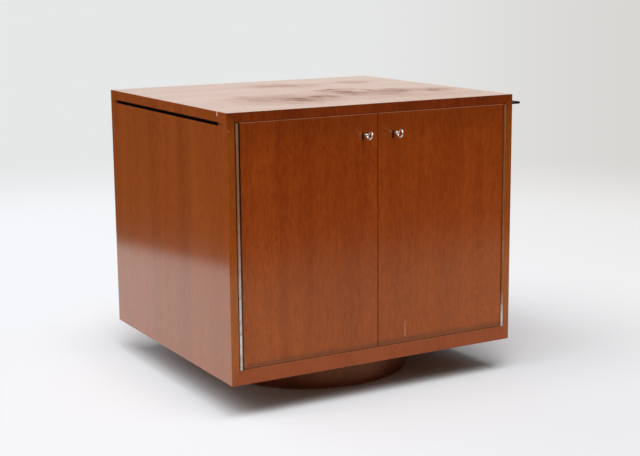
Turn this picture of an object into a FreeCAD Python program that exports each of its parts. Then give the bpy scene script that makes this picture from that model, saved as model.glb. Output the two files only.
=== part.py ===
"""Revolving cellarette: a veneered two-door cabinet that turns on a round plinth, with a serving leaf
that slides out through a slot in either side. Millimetres, +Z up, the doors face -Y, and the origin is
on the floor at the centre of the plinth."""

import FreeCAD, Part
import os
import re
import Sketcher
from FreeCAD import Placement, Rotation, Vector

doc = FreeCAD.newDocument("Cellarette")

# ---------------------------------------------------------------- driving dimensions

SIZES = {
    # case
    "case_width": 753,
    "case_depth": 670,
    "case_height": 600,
    "side_thickness": 20,
    "top_thickness": 21,
    "bottom_thickness": 34,
    "arris": 0.7,
    "back_thickness": 12,
    "back_rebate": 9,
    "back_screw_count": 6,
    "back_screw_length": 18,
    "partition_thickness": 18,
    "fit_gap": 0.1,
    # serving leaf, its slots and its bed
    "leaf_slot_below_top": 2,
    "leaf_slot_height": 7,
    "leaf_slot_setback": 40,
    "leaf_end_clearance": 5,
    "leaf_guide_clearance": 1,
    "leaf_running_gap": 0.2,
    "leaf_thickness": 4,
    "leaf_overhang": 26,
    "leaf_rest_shift": 31.5,
    "leaf_travel": 340,
    "leaf_lip_width": 13,
    "leaf_lip_height": 5.7,
    "leaf_lip_nose_radius": 2.2,
    "leaf_peg_radius": 5,
    "leaf_peg_length": 5.5,
    "leaf_groove_clearance": 0.5,
    "bed_thickness": 14,
    "bed_housing": 6,
    # doors
    "door_thickness": 18,
    "door_gap_top": 1,
    "door_gap_bottom": 1,
    "door_meeting_gap": 2,
    "door_back_gap": 1,
    "door_arris": 0.8,
    # piano hinges
    "knuckle_radius": 2.8,
    "knuckle_count": 13,
    "knuckle_gap": 0.4,
    "knuckle_clearance": 0.3,
    "hinge_proud": 1.5,
    "hinge_short": 1,
    "hinge_leaf_thickness": 0.9,
    "hinge_leaf_width": 15,
    "hinge_pin_radius": 1.2,
    "hinge_pin_clearance": 0.05,
    "hinge_screw_count": 9,
    "hinge_screw_inset": 9.5,
    "hinge_screw_end": 20,
    "hinge_screw_length": 13,
    "hinge_screw_radius": 1.5,
    "hinge_screw_head_radius": 2.6,
    "hinge_screw_head_height": 1,
    # locks and keys
    "key_offset": 40,
    "key_drop": 47,
    "keyhole_radius": 3.7,
    "keyhole_slot_width": 3.4,
    "keyhole_slot_drop": 12.6,
    "liner_wall": 0.9,
    "liner_depth": 6,
    "lock_gap": 3,
    "lock_depth": 15,
    "lock_wall": 1.2,
    "lock_rim_thickness": 1.5,
    "lock_rise": 20.5,
    "lock_fall": 15,
    "lock_rim_width": 12,
    "lock_screw_radius": 1.4,
    "lock_screw_head_radius": 2.5,
    "lock_screw_head_height": 1.2,
    "lock_screw_length": 10,
    "lock_post_radius": 1.3,
    "lock_post_length": 22,
    "bolt_setback": 6,
    "bolt_thickness": 6,
    "bolt_rise": 6.5,
    "bolt_height": 11,
    "bolt_tail": 16,
    "bolt_throw": 9,
    "bolt_clearance": 0.4,
    "bolt_end_clearance": 1.5,
    "talon_depth": 5.3,
    "talon_back": 13.5,
    "talon_front": 5,
    "strike_thickness": 1,
    "strike_width": 15,
    "strike_above_bolt": 4,
    "strike_below_bolt": 20,
    "strike_screw_end": 5,
    "strike_screw_pitch": 8.5,
    "strike_screw_head_height": 0.6,
    "mortise_depth": 7,
    "key_shank_radius": 2.5,
    "key_bore_clearance": 0.05,
    "key_bore_depth": 22,
    "key_reach": 20,
    "key_collar_radius": 3.3,
    "key_collar_length": 3,
    "bow_ring_radius": 8.3,
    "bow_wire_radius": 2,
    "bit_radius": 10.3,
    "bit_thickness": 2.2,
    "left_key_tilt": 23,
    "right_key_tilt": 15,
    # inside the bays
    "rack_height": 120,
    "rack_thickness": 12,
    "rack_hole_radius": 43,
    "rack_pitch": 108,
    "rack_rows": 2,
    "rack_columns": 3,
    "rack_setback": 20,
    "rack_margin": 14,
    "cleat_size": 18,
    "bay_clearance": 1,
    "shelf_thickness": 16,
    "shelf_setback": 15,
    "shelf_pin_radius": 2.5,
    "shelf_pin_depth": 9,
    "shelf_pin_reach": 8,
    "shelf_pin_setback": 60,
    "shelf_row_count": 5,
    "shelf_row_pitch": 48,
    "shelf_row_height": 160,
    "shelf_rows_below": 2,
    # plinth and swivel
    "plinth_radius": 250,
    "plinth_height": 71,
    "plinth_wall": 12,
    "plinth_top_thickness": 16,
    "base_thickness": 4,
    "base_inset": 2,
    "block_count": 6,
    "block_width": 40,
    "block_depth": 20,
    "block_height": 30,
    "swivel_height": 9,
    "race_radius": 150,
    "race_width": 36,
    "race_thickness": 2.6,
    "race_screw_count": 8,
    "race_screw_offset": 13.5,
    "race_screw_radius": 2,
    "race_screw_head_radius": 3.3,
    "race_screw_head_height": 1.2,
    "race_screw_length": 12,
    "ball_count": 24,
    "ball_radius": 3,
    "ball_clearance": 0.3,
    "cage_width": 17,
    "cage_thickness": 1.6,
    "cage_clearance": 0.2,
    "pivot_radius": 8,
    "pivot_clearance": 0.05,
    "pivot_reach": 24,
    "pivot_head_radius": 16,
    "pivot_head_height": 5,
    "bush_wall": 4,
    "bush_length": 26,
    "screw_fit": 0.05,
    "screw_slot_width": 0.8,
}

sheet = doc.addObject("Spreadsheet::Sheet", "Sizes")
for row, (alias, number) in enumerate(SIZES.items(), start=1):
    sheet.set(f"A{row}", alias)
    sheet.set(f"B{row}", str(number))
    sheet.setAlias(f"B{row}", alias)
doc.recompute()

# ---------------------------------------------------------------- places, as formulas of the sheet

CASE_LOW = "(plinth_height + swivel_height)"
CASE_HIGH = f"({CASE_LOW} + case_height)"
OUTER = "(case_width / 2)"
INNER = "(case_width / 2 - side_thickness)"
FRONT = "(-case_depth / 2)"
BACK = "(case_depth / 2)"
FLOOR = f"({CASE_LOW} + bottom_thickness)"
CEILING = f"({CASE_HIGH} - top_thickness)"
DOOR_BACK = f"({FRONT} + door_thickness)"
INSIDE_FRONT = f"({DOOR_BACK} + door_back_gap)"
INSIDE_BACK = f"({BACK} - back_thickness)"
DOOR_LOW = f"({FLOOR} + door_gap_bottom)"
DOOR_HIGH = f"({CEILING} - door_gap_top)"
SLOT_HIGH = f"({CEILING} - leaf_slot_below_top)"
SLOT_LOW = f"({SLOT_HIGH} - leaf_slot_height)"
BED_LOW = f"({SLOT_LOW} - bed_thickness)"
SLOT_HALF = "(case_depth / 2 - leaf_slot_setback)"
LEAF_HALF = f"({SLOT_HALF} - leaf_end_clearance)"
POST_HALF = "(partition_thickness / 2)"

HINGE_X = f"({INNER} - knuckle_radius)"
HINGE_Y = f"({FRONT} - hinge_proud)"
HINGE_LOW = DOOR_LOW
HINGE_HIGH = f"({DOOR_HIGH} - hinge_short)"
DOOR_EDGE = f"({INNER} - 2 * knuckle_radius)"

KEY_Z = f"({CEILING} - key_drop)"
LOCK_EDGE = f"({POST_HALF} + lock_gap)"
LOCK_REAR = f"({DOOR_BACK} + lock_depth)"
LOCK_TAIL = "(key_offset + bolt_tail + bolt_end_clearance + lock_wall)"
BOLT_LOW = f"({KEY_Z} + bolt_rise)"
BOLT_HIGH = f"({BOLT_LOW} + bolt_height)"
BOLT_FRONT = f"({DOOR_BACK} + bolt_setback)"
BOLT_REAR = f"({BOLT_FRONT} + bolt_thickness)"
BOLT_MIDDLE_Y = f"(({BOLT_FRONT} + {BOLT_REAR}) / 2)"
STRIKE_LOW = f"({BOLT_LOW} - strike_below_bolt)"

RACE_LOW = "(plinth_height + race_thickness)"
RACE_HIGH = f"({CASE_LOW} - race_thickness)"
BALL_Z = "(plinth_height + swivel_height / 2)"
RACE_INNER = "(race_radius - race_width / 2)"
RACE_OUTER = "(race_radius + race_width / 2)"

# Each set of screws is its first places and its shank radius, with how it repeats beside it.
RACE_SCREWS = ([("race_radius + race_screw_offset", "0")], "race_screw_radius")
RACE_RING = {"around": "Z", "count": "race_screw_count"}
HINGE_SCREWS = (
    [(f"({HINGE_Y} + hinge_screw_inset)", f"({HINGE_LOW} + hinge_screw_end)")],
    "hinge_screw_radius",
)
HINGE_ROW = {
    "along": "Z",
    "run": f"{HINGE_HIGH} - {HINGE_LOW} - 2 * hinge_screw_end",
    "count": "hinge_screw_count",
}
BACK_ROW = {
    "along": "Z",
    "run": f"{BED_LOW} - {FLOOR} - 2 * back_rebate",
    "count": "back_screw_count",
}
STRIKE_SCREWS = (
    [(BOLT_MIDDLE_Y, f"({STRIKE_LOW} + strike_screw_end + {row} * strike_screw_pitch)") for row in (0, 1)],
    "lock_screw_radius",
)

SIDES = {"left": -1, "right": 1}


def formula(text):
    """The same formula with every size written as a cell of the sheet."""
    return re.sub(r"[a-z][a-z_]+", lambda word: cell(word.group()), str(text))


def cell(word):
    return f"Sizes.{word}" if word in SIZES else word


def value(text):
    """A formula worked out as a number."""
    return float(sheet.evalExpression(formula(text)))


def bind(thing, prop, text):
    thing.setExpression(prop, formula(text))


def across(side, near, far):
    """The X range between two distances from the middle plane, on the left (-1) or right (+1)."""
    return (near, far) if side > 0 else (f"(-({far}))", f"(-({near}))")


# ---------------------------------------------------------------- sketches and features

pieces = {}


def new_body(label):
    body = doc.addObject("PartDesign::Body", label)
    body.Label = label
    pieces[label] = body
    return body


def origin_part(body, role):
    return next(part for part in body.Origin.OriginFeatures if part.Role == role)


def rectangle(first, second):
    """Corner points of a rectangle from its two ranges."""
    return [(first[0], second[0]), (first[1], second[0]), (first[1], second[1]), (first[0], second[1])]


def fix_point(sketch, geometry, point, place):
    for kind, text in zip(("DistanceX", "DistanceY"), place):
        index = sketch.addConstraint(Sketcher.Constraint(kind, -1, 1, geometry, point, value(text)))
        bind(sketch, f"Constraints[{index}]", text)


def draw_loop(sketch, points):
    """A closed outline of straight lines with every corner tied to its formulas."""
    corners = [Vector(value(a), value(b), 0) for a, b in points]
    first = sketch.GeometryCount
    count = len(corners)
    for i in range(count):
        sketch.addGeometry(Part.LineSegment(corners[i], corners[(i + 1) % count]), False)
    for i in range(count):
        sketch.addConstraint(
            Sketcher.Constraint("Coincident", first + i, 2, first + (i + 1) % count, 1)
        )
    for i in range(count):
        fix_point(sketch, first + i, 1, points[i])


def draw_round(sketch, centre, radius):
    middle = Vector(value(centre[0]), value(centre[1]), 0)
    circle = Part.Circle(middle, Vector(0, 0, 1), value(radius))
    geometry = sketch.addGeometry(circle, False)
    index = sketch.addConstraint(Sketcher.Constraint("Radius", geometry, value(radius)))
    bind(sketch, f"Constraints[{index}]", radius)
    fix_point(sketch, geometry, 3, centre)


def extrude(body, kind, plane, span, loops, rounds):
    """A pad or pocket between two levels of the axis that stands on an origin plane."""
    low, high = span
    sketch = body.newObject("Sketcher::SketchObject", f"{body.Label}_sketch")
    sketch.AttachmentSupport = (origin_part(body, f"{plane}_Plane"), [""])
    sketch.MapMode = "FlatFace"
    # The XZ plane faces -Y, so its features run the other way.
    if plane == "XZ":
        level = f"-({high})" if kind == "Pad" else f"-({low})"
    else:
        level = low if kind == "Pad" else high
    bind(sketch, "AttachmentOffset.Base.z", level)
    for points in loops:
        draw_loop(sketch, points)
    for centre, radius in rounds:
        draw_round(sketch, centre, radius)
    feature = body.newObject(f"PartDesign::{kind}", f"{body.Label}_{kind.lower()}")
    feature.Profile = sketch
    bind(feature, "Length", f"({high}) - ({low})")
    return feature


def pad(body, plane, span, loops=(), rounds=()):
    return extrude(body, "Pad", plane, span, loops, rounds)


def pocket(body, plane, span, loops=(), rounds=()):
    return extrude(body, "Pocket", plane, span, loops, rounds)


def edges_between(shape, chosen):
    """Names of the straight edges of a shape whose two ends satisfy a test."""
    names = []
    for number, edge in enumerate(shape.Edges, start=1):
        ends = [vertex.Point for vertex in edge.Vertexes]
        if len(ends) == 2 and chosen(*ends):
            names.append(f"Edge{number}")
    return names


def ease(body, kind, size, chosen):
    """A chamfer or fillet on the chosen straight edges of the body's newest shape."""
    base = body.Tip
    base.recompute(True)
    feature = body.newObject(f"PartDesign::{kind}", f"{body.Label}_{kind.lower()}")
    feature.Base = (base, edges_between(base.Shape, chosen))
    bind(feature, "Radius" if kind == "Fillet" else "Size", size)


def repeat(body, features, around=None, along=None, run=None, count="1"):
    """The same features again, evenly spaced around +Z or along an axis over a run."""
    kind = "PolarPattern" if around else "LinearPattern"
    pattern = body.newObject(f"PartDesign::{kind}", f"{body.Label}_{kind.lower()}")
    pattern.Originals = features
    if around:
        pattern.Axis = (origin_part(body, "Z_Axis"), [""])
        pattern.Angle = 360
    else:
        pattern.Direction = (origin_part(body, f"{along}_Axis"), [""])
        bind(pattern, "Length", run)
    bind(pattern, "Occurrences", count)
    body.Tip = pattern
    return pattern


def near(one, other):
    return abs(one - other) < 0.01


def board(label, x, y, z):
    """A plain rectangular board between three ranges."""
    box = doc.addObject("Part::Box", label)
    box.Label = label
    for prop, place, (low, high) in zip(("Length", "Width", "Height"), "xyz", (x, y, z)):
        bind(box, prop, f"({high}) - ({low})")
        bind(box, f"Placement.Base.{place}", low)
    pieces[label] = box
    return box


def cylinder(label, radius, length, base, pitch=0):
    """A cylinder along +Z, or along -Y where pitch is 90, from a base point."""
    rod = doc.addObject("Part::Cylinder", label)
    rod.Label = label
    bind(rod, "Radius", radius)
    bind(rod, "Height", length)
    rod.Placement = Placement(Vector(), Rotation(Vector(1, 0, 0), pitch))
    for place, text in zip("xyz", base):
        bind(rod, f"Placement.Base.{place}", text)
    return rod


def screws(label, plane, centres, shank, head, radius, head_radius, slot_side, **spread):
    """Slotted screws in one node: shanks, heads and a driver slot across each head."""
    body = new_body(label)
    shanks = pad(body, plane, shank, rounds=[(centre, radius) for centre in centres])
    heads = pad(body, plane, head, rounds=[(centre, head_radius) for centre in centres])
    half = "(screw_slot_width / 2)"
    cuts = [
        rectangle((f"{a} - {half}", f"{a} + {half}"), (f"{b} - {head_radius}", f"{b} + {head_radius}"))
        for a, b in centres
    ]
    middle = f"(({head[0]}) + ({head[1]})) / 2"
    slots = pocket(body, plane, (middle, head[1]) if slot_side > 0 else (head[0], middle), loops=cuts)
    if spread:
        repeat(body, [shanks, heads, slots], **spread)


def screw_holes(body, plane, span, centres, radius, **spread):
    """Clearance holes for screws, given like the screws themselves."""
    holes = pocket(body, plane, span, rounds=[(centre, f"{radius} + screw_fit") for centre in centres])
    if spread:
        repeat(body, [holes], **spread)


# ---------------------------------------------------------------- plinth and swivel


def make_plinth():
    centre = ("0", "0")
    bore = "(plinth_radius - plinth_wall)"
    base = new_body("plinth_base")
    pad(base, "XY", ("0", "base_thickness"), rounds=[(centre, "plinth_radius - base_inset")])

    wall = new_body("plinth_wall")
    pad(wall, "XY", ("base_thickness", "plinth_height"),
        rounds=[(centre, "plinth_radius"), (centre, bore)])

    under = "(plinth_height - plinth_top_thickness)"
    top = new_body("plinth_top")
    pad(top, "XY", (under, "plinth_height"), rounds=[(centre, f"{bore} - fit_gap")])
    pocket(top, "XY", (under, "plinth_height"), rounds=[(centre, "pivot_radius + screw_fit")])
    screw_holes(top, "XY", ("plinth_height - race_screw_length", "plinth_height"), *RACE_SCREWS, **RACE_RING)

    # Glue blocks stand in the corner between the wall and the underside of the top.
    blocks = new_body("plinth_blocks")
    reach = f"(sqrt({bore} * {bore} - block_width * block_width / 4) - fit_gap)"
    block = pad(blocks, "XY", (f"{under} - block_height", under),
                loops=[rectangle((f"{reach} - block_depth", reach), ("-block_width / 2", "block_width / 2"))])
    repeat(blocks, [block], around="Z", count="block_count")

    pin = new_body("pivot_pin")
    pad(pin, "XY", (f"{under} - pivot_head_height", under), rounds=[(centre, "pivot_head_radius")])
    pad(pin, "XY", (under, f"{CASE_LOW} + pivot_reach"), rounds=[(centre, "pivot_radius")])


def make_race(label, low, high):
    """A flat steel ring with a round track for the balls and a ring of screw holes."""
    centre = ("0", "0")
    race = new_body(label)
    pad(race, "XY", (low, high), rounds=[(centre, RACE_OUTER), (centre, RACE_INNER)])
    track = race.newObject("PartDesign::SubtractiveTorus", f"{label}_track")
    bind(track, "Radius1", "race_radius")
    bind(track, "Radius2", "ball_radius + ball_clearance")
    bind(track, "Placement.Base.z", BALL_Z)
    screw_holes(race, "XY", (low, high), *RACE_SCREWS, **RACE_RING)


def make_swivel():
    centre = ("0", "0")
    make_race("swivel_lower_race", "plinth_height", RACE_LOW)
    make_race("swivel_upper_race", RACE_HIGH, CASE_LOW)
    places, radius = RACE_SCREWS
    screws("swivel_lower_screws", "XY", places,
           (f"{RACE_LOW} - race_screw_length", RACE_LOW), (RACE_LOW, f"{RACE_LOW} + race_screw_head_height"),
           radius, "race_screw_head_radius", 1, **RACE_RING)
    screws("swivel_upper_screws", "XY", places,
           (RACE_HIGH, f"{RACE_HIGH} + race_screw_length"),
           (f"{RACE_HIGH} - race_screw_head_height", RACE_HIGH),
           radius, "race_screw_head_radius", -1, **RACE_RING)

    cage = new_body("swivel_cage")
    half = "(cage_thickness / 2)"
    pad(cage, "XY", (f"{BALL_Z} - {half}", f"{BALL_Z} + {half}"),
        rounds=[(centre, "race_radius + cage_width / 2"), (centre, "race_radius - cage_width / 2")])
    hole = pocket(cage, "XY", (f"{BALL_Z} - {half}", f"{BALL_Z} + {half}"),
                  rounds=[(("race_radius", "0"), "ball_radius + cage_clearance")])
    repeat(cage, [hole], around="Z", count="ball_count")

    balls = new_body("swivel_balls")
    ball = balls.newObject("PartDesign::AdditiveSphere", "swivel_ball")
    bind(ball, "Radius", "ball_radius")
    bind(ball, "Placement.Base.x", "race_radius")
    bind(ball, "Placement.Base.z", BALL_Z)
    repeat(balls, [ball], around="Z", count="ball_count")

    bush = new_body("pivot_bush")
    pad(bush, "XY", (CASE_LOW, f"{CASE_LOW} + bush_length"),
        rounds=[(centre, "pivot_radius + bush_wall"), (centre, "pivot_radius + pivot_clearance")])


# ---------------------------------------------------------------- case


def mitre_point(side, outer_z, board_thickness, up):
    """Where the mitre between a side and the top or bottom leaves the eased outer corner."""
    share = f"(arris / (side_thickness + {board_thickness}))"
    x = f"{side} * ({OUTER} - side_thickness * {share})"
    z = f"{outer_z} - {up} * {board_thickness} * {share}"
    return (x, z)


def back_panel_outline(slack):
    """The opening that the back panel fills, which is also the rebate cut for it."""
    x = f"({INNER} + back_rebate - {slack})"
    low = f"({FLOOR} - back_rebate + {slack})"
    high = f"({CEILING} + back_rebate - {slack})"
    return rectangle((f"-{x}", x), (low, high))


def cut_back_rebate(body):
    pocket(body, "XZ", (INSIDE_BACK, BACK), loops=[back_panel_outline("0")])


def runs_along_rim(first, second):
    """Whether an edge lies in the case's front or back plane and follows its outline."""
    outline = near(first.x, second.x) or near(first.z, second.z)
    return outline and near(first.y, second.y) and near(abs(first.y), value(BACK))


def make_case_boards():
    top = new_body("case_top")
    pad(top, "XZ", (FRONT, BACK), loops=[[
        mitre_point(-1, CASE_HIGH, "top_thickness", 1),
        (f"-{OUTER} + arris", CASE_HIGH),
        (f"{OUTER} - arris", CASE_HIGH),
        mitre_point(1, CASE_HIGH, "top_thickness", 1),
        (INNER, CEILING),
        (f"-{INNER}", CEILING),
    ]])
    ease(top, "Chamfer", "arris", lambda a, b: runs_along_rim(a, b) and near(a.z, value(CASE_HIGH)))
    cut_back_rebate(top)

    bottom = new_body("case_bottom")
    pad(bottom, "XZ", (FRONT, BACK), loops=[[
        mitre_point(-1, CASE_LOW, "bottom_thickness", -1),
        (f"-{OUTER} + arris", CASE_LOW),
        (f"{OUTER} - arris", CASE_LOW),
        mitre_point(1, CASE_LOW, "bottom_thickness", -1),
        (INNER, FLOOR),
        (f"-{INNER}", FLOOR),
    ]])
    ease(bottom, "Chamfer", "arris", lambda a, b: runs_along_rim(a, b) and near(a.z, value(CASE_LOW)))
    cut_back_rebate(bottom)
    pocket(bottom, "XY", (CASE_LOW, f"{CASE_LOW} + bush_length"),
           rounds=[(("0", "0"), "pivot_radius + bush_wall + screw_fit")])
    screw_holes(bottom, "XY", (CASE_LOW, f"{CASE_LOW} + race_screw_length"), *RACE_SCREWS, **RACE_RING)


def shelf_row_level(index):
    return f"({FLOOR} + shelf_row_height + {index} * shelf_row_pitch)"


SHELF_PIN_COLUMNS = (
    f"({INSIDE_FRONT} + shelf_setback + shelf_pin_setback)",
    f"({INSIDE_BACK} - shelf_pin_setback)",
)


def shelf_pin_holes(body, span):
    """Two columns of holes, one near the front and one near the back."""
    places = [(y, shelf_row_level(0)) for y in SHELF_PIN_COLUMNS]
    holes = pocket(body, "YZ", span, rounds=[(place, "shelf_pin_radius + screw_fit") for place in places])
    repeat(body, [holes], along="Z", run="(shelf_row_count - 1) * shelf_row_pitch", count="shelf_row_count")


def back_screws(side):
    column = f"{side} * ({INNER} + back_rebate / 2)"
    return ([(column, f"({FLOOR} + back_rebate)")], "hinge_screw_radius")


def make_side(name, side):
    body = new_body(f"{name}_side")
    pad(body, "XZ", (FRONT, BACK), loops=[[
        (f"{side} * {OUTER}", f"{CASE_LOW} + arris"),
        (f"{side} * {OUTER}", f"{CASE_HIGH} - arris"),
        mitre_point(side, CASE_HIGH, "top_thickness", 1),
        (f"{side} * {INNER}", CEILING),
        (f"{side} * {INNER}", FLOOR),
        mitre_point(side, CASE_LOW, "bottom_thickness", -1),
    ]])
    ease(body, "Chamfer", "arris", lambda a, b: runs_along_rim(a, b) and near(abs(a.x), value(OUTER)))
    cut_back_rebate(body)
    pocket(body, "YZ", across(side, INNER, OUTER),
           loops=[rectangle((f"-{SLOT_HALF}", SLOT_HALF), (SLOT_LOW, SLOT_HIGH))])
    pocket(body, "YZ", across(side, INNER, f"{INNER} + bed_housing"),
           loops=[rectangle((INSIDE_FRONT, INSIDE_BACK), (BED_LOW, SLOT_LOW))])
    screw_holes(body, "YZ", across(side, INNER, f"{INNER} + hinge_screw_length"), *HINGE_SCREWS, **HINGE_ROW)
    screw_holes(body, "XZ", (f"{INSIDE_BACK} - back_screw_length", INSIDE_BACK),
                *back_screws(side), **BACK_ROW)
    if side > 0:
        shelf_pin_holes(body, (INNER, f"{INNER} + shelf_pin_depth"))


def make_back():
    panel = new_body("back_panel")
    pad(panel, "XZ", (INSIDE_BACK, BACK), loops=[back_panel_outline("fit_gap")])
    for name, side in SIDES.items():
        places, radius = back_screws(side)
        screw_holes(panel, "XZ", (INSIDE_BACK, BACK), places, radius, **BACK_ROW)
        screws(f"{name}_back_screws", "XZ", places,
               (f"{INSIDE_BACK} - back_screw_length", BACK), (BACK, f"{BACK} + hinge_screw_head_height"),
               radius, "hinge_screw_head_radius", 1, **BACK_ROW)


def make_partition():
    post = new_body("centre_partition")
    pad(post, "YZ", (f"-{POST_HALF}", POST_HALF),
        loops=[rectangle((INSIDE_FRONT, INSIDE_BACK), (FLOOR, BED_LOW))])
    shelf_pin_holes(post, (f"{POST_HALF} - shelf_pin_depth", POST_HALF))
    for name, side in SIDES.items():
        pocket(post, "YZ", across(side, f"{POST_HALF} - mortise_depth", POST_HALF),
               loops=[bolt_hole("bolt_clearance")])
        pocket(post, "YZ", across(side, f"{POST_HALF} - strike_thickness", POST_HALF),
               loops=[strike_outline("fit_gap")])
        screw_holes(post, "YZ", across(side, f"{POST_HALF} - mortise_depth", POST_HALF), *STRIKE_SCREWS)


def bolt_hole(slack):
    """The bolt's own outline seen along X, with clearance all round."""
    return rectangle((f"{BOLT_FRONT} - {slack}", f"{BOLT_REAR} + {slack}"),
                     (f"{BOLT_LOW} - {slack}", f"{BOLT_HIGH} + {slack}"))


def strike_outline(slack):
    """The strike plate's outline, or the shallow recess that it lies in."""
    wide = f"(strike_width / 2 + {slack})"
    return rectangle((f"{BOLT_MIDDLE_Y} - {wide}", f"{BOLT_MIDDLE_Y} + {wide}"),
                     (f"{STRIKE_LOW} - {slack}", f"{BOLT_HIGH} + strike_above_bolt + {slack}"))


def make_strike(name, side):
    plate = new_body(f"{name}_strike_plate")
    thickness = across(side, f"{POST_HALF} - strike_thickness", POST_HALF)
    pad(plate, "YZ", thickness, loops=[strike_outline("0"), bolt_hole("bolt_clearance")])
    screw_holes(plate, "YZ", thickness, *STRIKE_SCREWS)
    places, radius = STRIKE_SCREWS
    screws(f"{name}_strike_screws", "YZ", places,
           across(side, f"{POST_HALF} - mortise_depth", POST_HALF),
           across(side, POST_HALF, f"{POST_HALF} + strike_screw_head_height"),
           radius, "lock_screw_head_radius", side)


# ---------------------------------------------------------------- serving leaf and its bed


def make_leaf_bed():
    reach = f"({INNER} + bed_housing)"
    bed = new_body("leaf_bed")
    pad(bed, "XY", (BED_LOW, SLOT_LOW), loops=[rectangle((f"-{reach}", reach), (INSIDE_FRONT, INSIDE_BACK))])
    half_groove = "(leaf_travel + leaf_peg_radius + leaf_groove_clearance)"
    half_width = "(leaf_peg_radius + leaf_groove_clearance)"
    pocket(bed, "XY", (f"{SLOT_LOW} - leaf_peg_length - leaf_groove_clearance", SLOT_LOW),
           loops=[rectangle((f"-{half_groove}", half_groove), (f"-{half_width}", half_width))])

    guide = f"({LEAF_HALF} + leaf_guide_clearance)"
    board("front_leaf_guide", (f"-{INNER}", INNER), (INSIDE_FRONT, f"-{guide}"), (SLOT_LOW, CEILING))
    board("back_leaf_guide", (f"-{INNER}", INNER), (guide, INSIDE_BACK), (SLOT_LOW, CEILING))


def make_leaf():
    base = f"({SLOT_LOW} + leaf_running_gap)"
    half_length = f"({OUTER} + leaf_overhang)"
    flat = f"({half_length} - leaf_lip_width)"
    board("serving_leaf", (f"leaf_rest_shift - {flat}", f"leaf_rest_shift + {flat}"),
          (f"-{LEAF_HALF}", LEAF_HALF), (base, f"{base} + leaf_thickness"))
    for name, side in SIDES.items():
        lip = new_body(f"{name}_leaf_lip")
        high = f"({base} + leaf_lip_height)"
        end = f"(leaf_rest_shift + {side} * {half_length})"
        pad(lip, "XZ", (f"-{LEAF_HALF}", LEAF_HALF), loops=[[
            (f"{end} - {side} * leaf_lip_width", base),
            (end, base),
            (end, high),
            (f"{end} - {side} * leaf_lip_width / 2", high),
            (f"{end} - {side} * leaf_lip_width", f"{base} + leaf_thickness"),
        ]])
        nose = value(end)
        ease(lip, "Fillet", "leaf_lip_nose_radius",
             lambda a, b: near(a.x, nose) and near(b.x, nose) and near(a.z, b.z))

    pieces["leaf_stop_peg"] = cylinder("leaf_stop_peg", "leaf_peg_radius", "leaf_peg_length",
                                       ("leaf_rest_shift", "0", f"{base} - leaf_peg_length"))


# ---------------------------------------------------------------- hinges


def hinge_leaf(label, side, plate, first_gap):
    """One leaf of a piano hinge: a strip rolled into every second knuckle of the barrel."""
    body = new_body(label)
    span = (HINGE_LOW, HINGE_HIGH)
    axis = (f"{side} * {HINGE_X}", HINGE_Y)
    pad(body, "XY", span, loops=[rectangle(plate, (HINGE_Y, f"{HINGE_Y} + hinge_leaf_width"))])
    pad(body, "XY", span, rounds=[(axis, "knuckle_radius")])
    pitch = f"(({HINGE_HIGH} - {HINGE_LOW}) / knuckle_count)"
    around = across(side, f"({HINGE_X} - 2 * knuckle_radius)", f"({HINGE_X} + 2 * knuckle_radius)")
    gap_low = f"({HINGE_LOW} + {first_gap} * {pitch} - knuckle_gap / 2)"
    gap = pocket(
        body, "XZ",
        (f"{HINGE_Y} - 2 * knuckle_radius", f"{HINGE_Y} + knuckle_radius + knuckle_clearance"),
        loops=[rectangle(around, (gap_low, f"{gap_low} + {pitch} + knuckle_gap"))],
    )
    gap_count = f"(knuckle_count + 1) / 2 - {first_gap}"
    repeat(body, [gap], along="Z", run=f"2 * {pitch} * ({gap_count} - 1)", count=gap_count)
    pocket(body, "XY", span, rounds=[(axis, "hinge_pin_radius + hinge_pin_clearance")])
    screw_holes(body, "YZ", plate, *HINGE_SCREWS, **HINGE_ROW)


def make_hinge(name, side):
    case_plate = across(side, f"{INNER} - hinge_leaf_thickness", INNER)
    door_plate = across(side, DOOR_EDGE, f"{DOOR_EDGE} + hinge_leaf_thickness")
    hinge_leaf(f"{name}_hinge_case_leaf", side, case_plate, 1)
    hinge_leaf(f"{name}_hinge_door_leaf", side, door_plate, 0)

    pin = cylinder(f"{name}_hinge_pin", "hinge_pin_radius", f"{HINGE_HIGH} - {HINGE_LOW}",
                   (f"{side} * {HINGE_X}", HINGE_Y, HINGE_LOW))
    pieces[pin.Label] = pin

    case_face = f"({INNER} - hinge_leaf_thickness)"
    places, radius = HINGE_SCREWS
    screws(f"{name}_hinge_case_screws", "YZ", places,
           across(side, case_face, f"{INNER} + hinge_screw_length"),
           across(side, f"{case_face} - hinge_screw_head_height", case_face),
           radius, "hinge_screw_head_radius", -side, **HINGE_ROW)
    door_face = f"({DOOR_EDGE} + hinge_leaf_thickness)"
    screws(f"{name}_hinge_door_screws", "YZ", places,
           across(side, f"{DOOR_EDGE} - hinge_screw_length", door_face),
           across(side, door_face, f"{door_face} + hinge_screw_head_height"),
           radius, "hinge_screw_head_radius", side, **HINGE_ROW)


# ---------------------------------------------------------------- doors and locks


def from_key(side, distance):
    """X of a place this far from the key's axis towards the centre partition."""
    return f"({side} * (key_offset - ({distance})))"


def keyhole_loop(side, slack):
    """The straight part of the keyhole, below the round part."""
    half = f"(keyhole_slot_width / 2 + {slack})"
    return rectangle((f"{from_key(side, 0)} - {half}", f"{from_key(side, 0)} + {half}"),
                     (f"{KEY_Z} - keyhole_slot_drop - {slack}", KEY_Z))


def lock_screw_places(side):
    rim_middle = f"({LOCK_TAIL} + lock_rim_width / 2)"
    return [
        (f"({side} * {rim_middle})", f"({KEY_Z} + lock_rise - lock_rim_width / 2)"),
        (f"({side} * {rim_middle})", f"({KEY_Z} - lock_fall - lock_rim_width / 2)"),
        (f"({side} * ({LOCK_EDGE} + lock_rim_width / 2))", f"({KEY_Z} - lock_fall - lock_rim_width / 2)"),
    ]


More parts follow.
